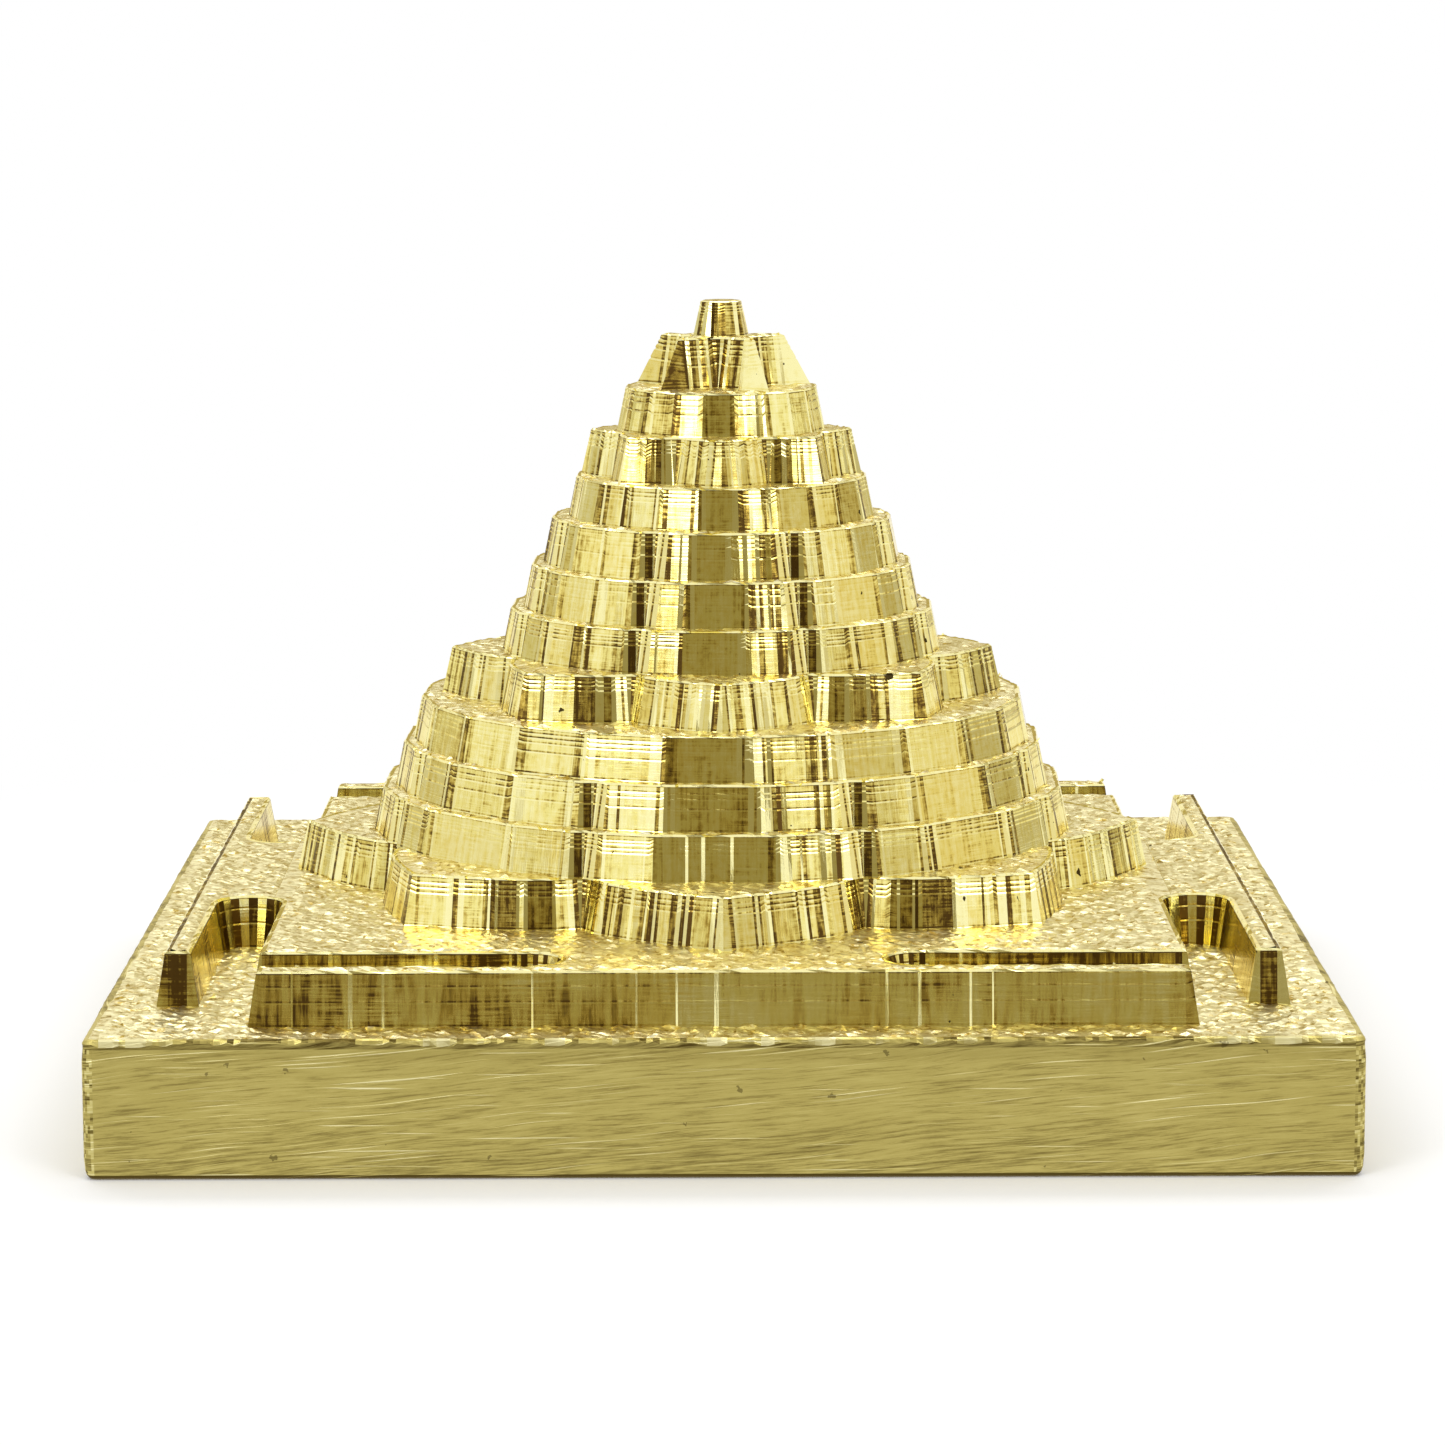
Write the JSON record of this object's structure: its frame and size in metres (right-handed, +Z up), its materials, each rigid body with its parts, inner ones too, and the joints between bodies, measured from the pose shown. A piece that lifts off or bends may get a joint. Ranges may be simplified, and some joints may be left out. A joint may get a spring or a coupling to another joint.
{
  "type": "raised yantra",
  "caption": "Stepped brass pyramid yantra on a square slab: lotus tiers, scalloped and round terraces, a star and a point, inside a square enclosure with T-shaped gates.",
  "frame": {"origin": "middle of the slab's underside", "axes": "+Z up through the bindu, -Y towards the front gate, +X to the right of someone facing the front"},
  "size_m": [0.0382, 0.0382, 0.0247],
  "materials": {
    "slab_brass": "plain brass with long fine saw and file marks on the slab's sides, milled on top",
    "enclosure_brass": "end-milled brass with fine upright cutter marks on the walls and a sparkly stippled top",
    "level_brass": "bright milled brass in flat upright facets with fine tool lines"
  },
  "bodies": {
    "root": {"base_slab": "slab_brass", "enclosure": "enclosure_brass", "gate_front": "enclosure_brass", "gate_right": "enclosure_brass", "gate_back": "enclosure_brass", "gate_left": "enclosure_brass", "large_lotus": "level_brass", "outer_scalloped_ring": "level_brass", "inner_scalloped_ring": "level_brass", "wide_round_terrace": "level_brass", "middle_lotus": "level_brass", "lower_scalloped_step": "level_brass", "middle_scalloped_step": "level_brass", "upper_scalloped_step": "level_brass", "middle_round_terrace": "level_brass", "small_lotus": "level_brass", "upper_round_terrace": "level_brass", "five_pointed_star": "level_brass", "bindu": "level_brass"}
  },
  "joints": []
}
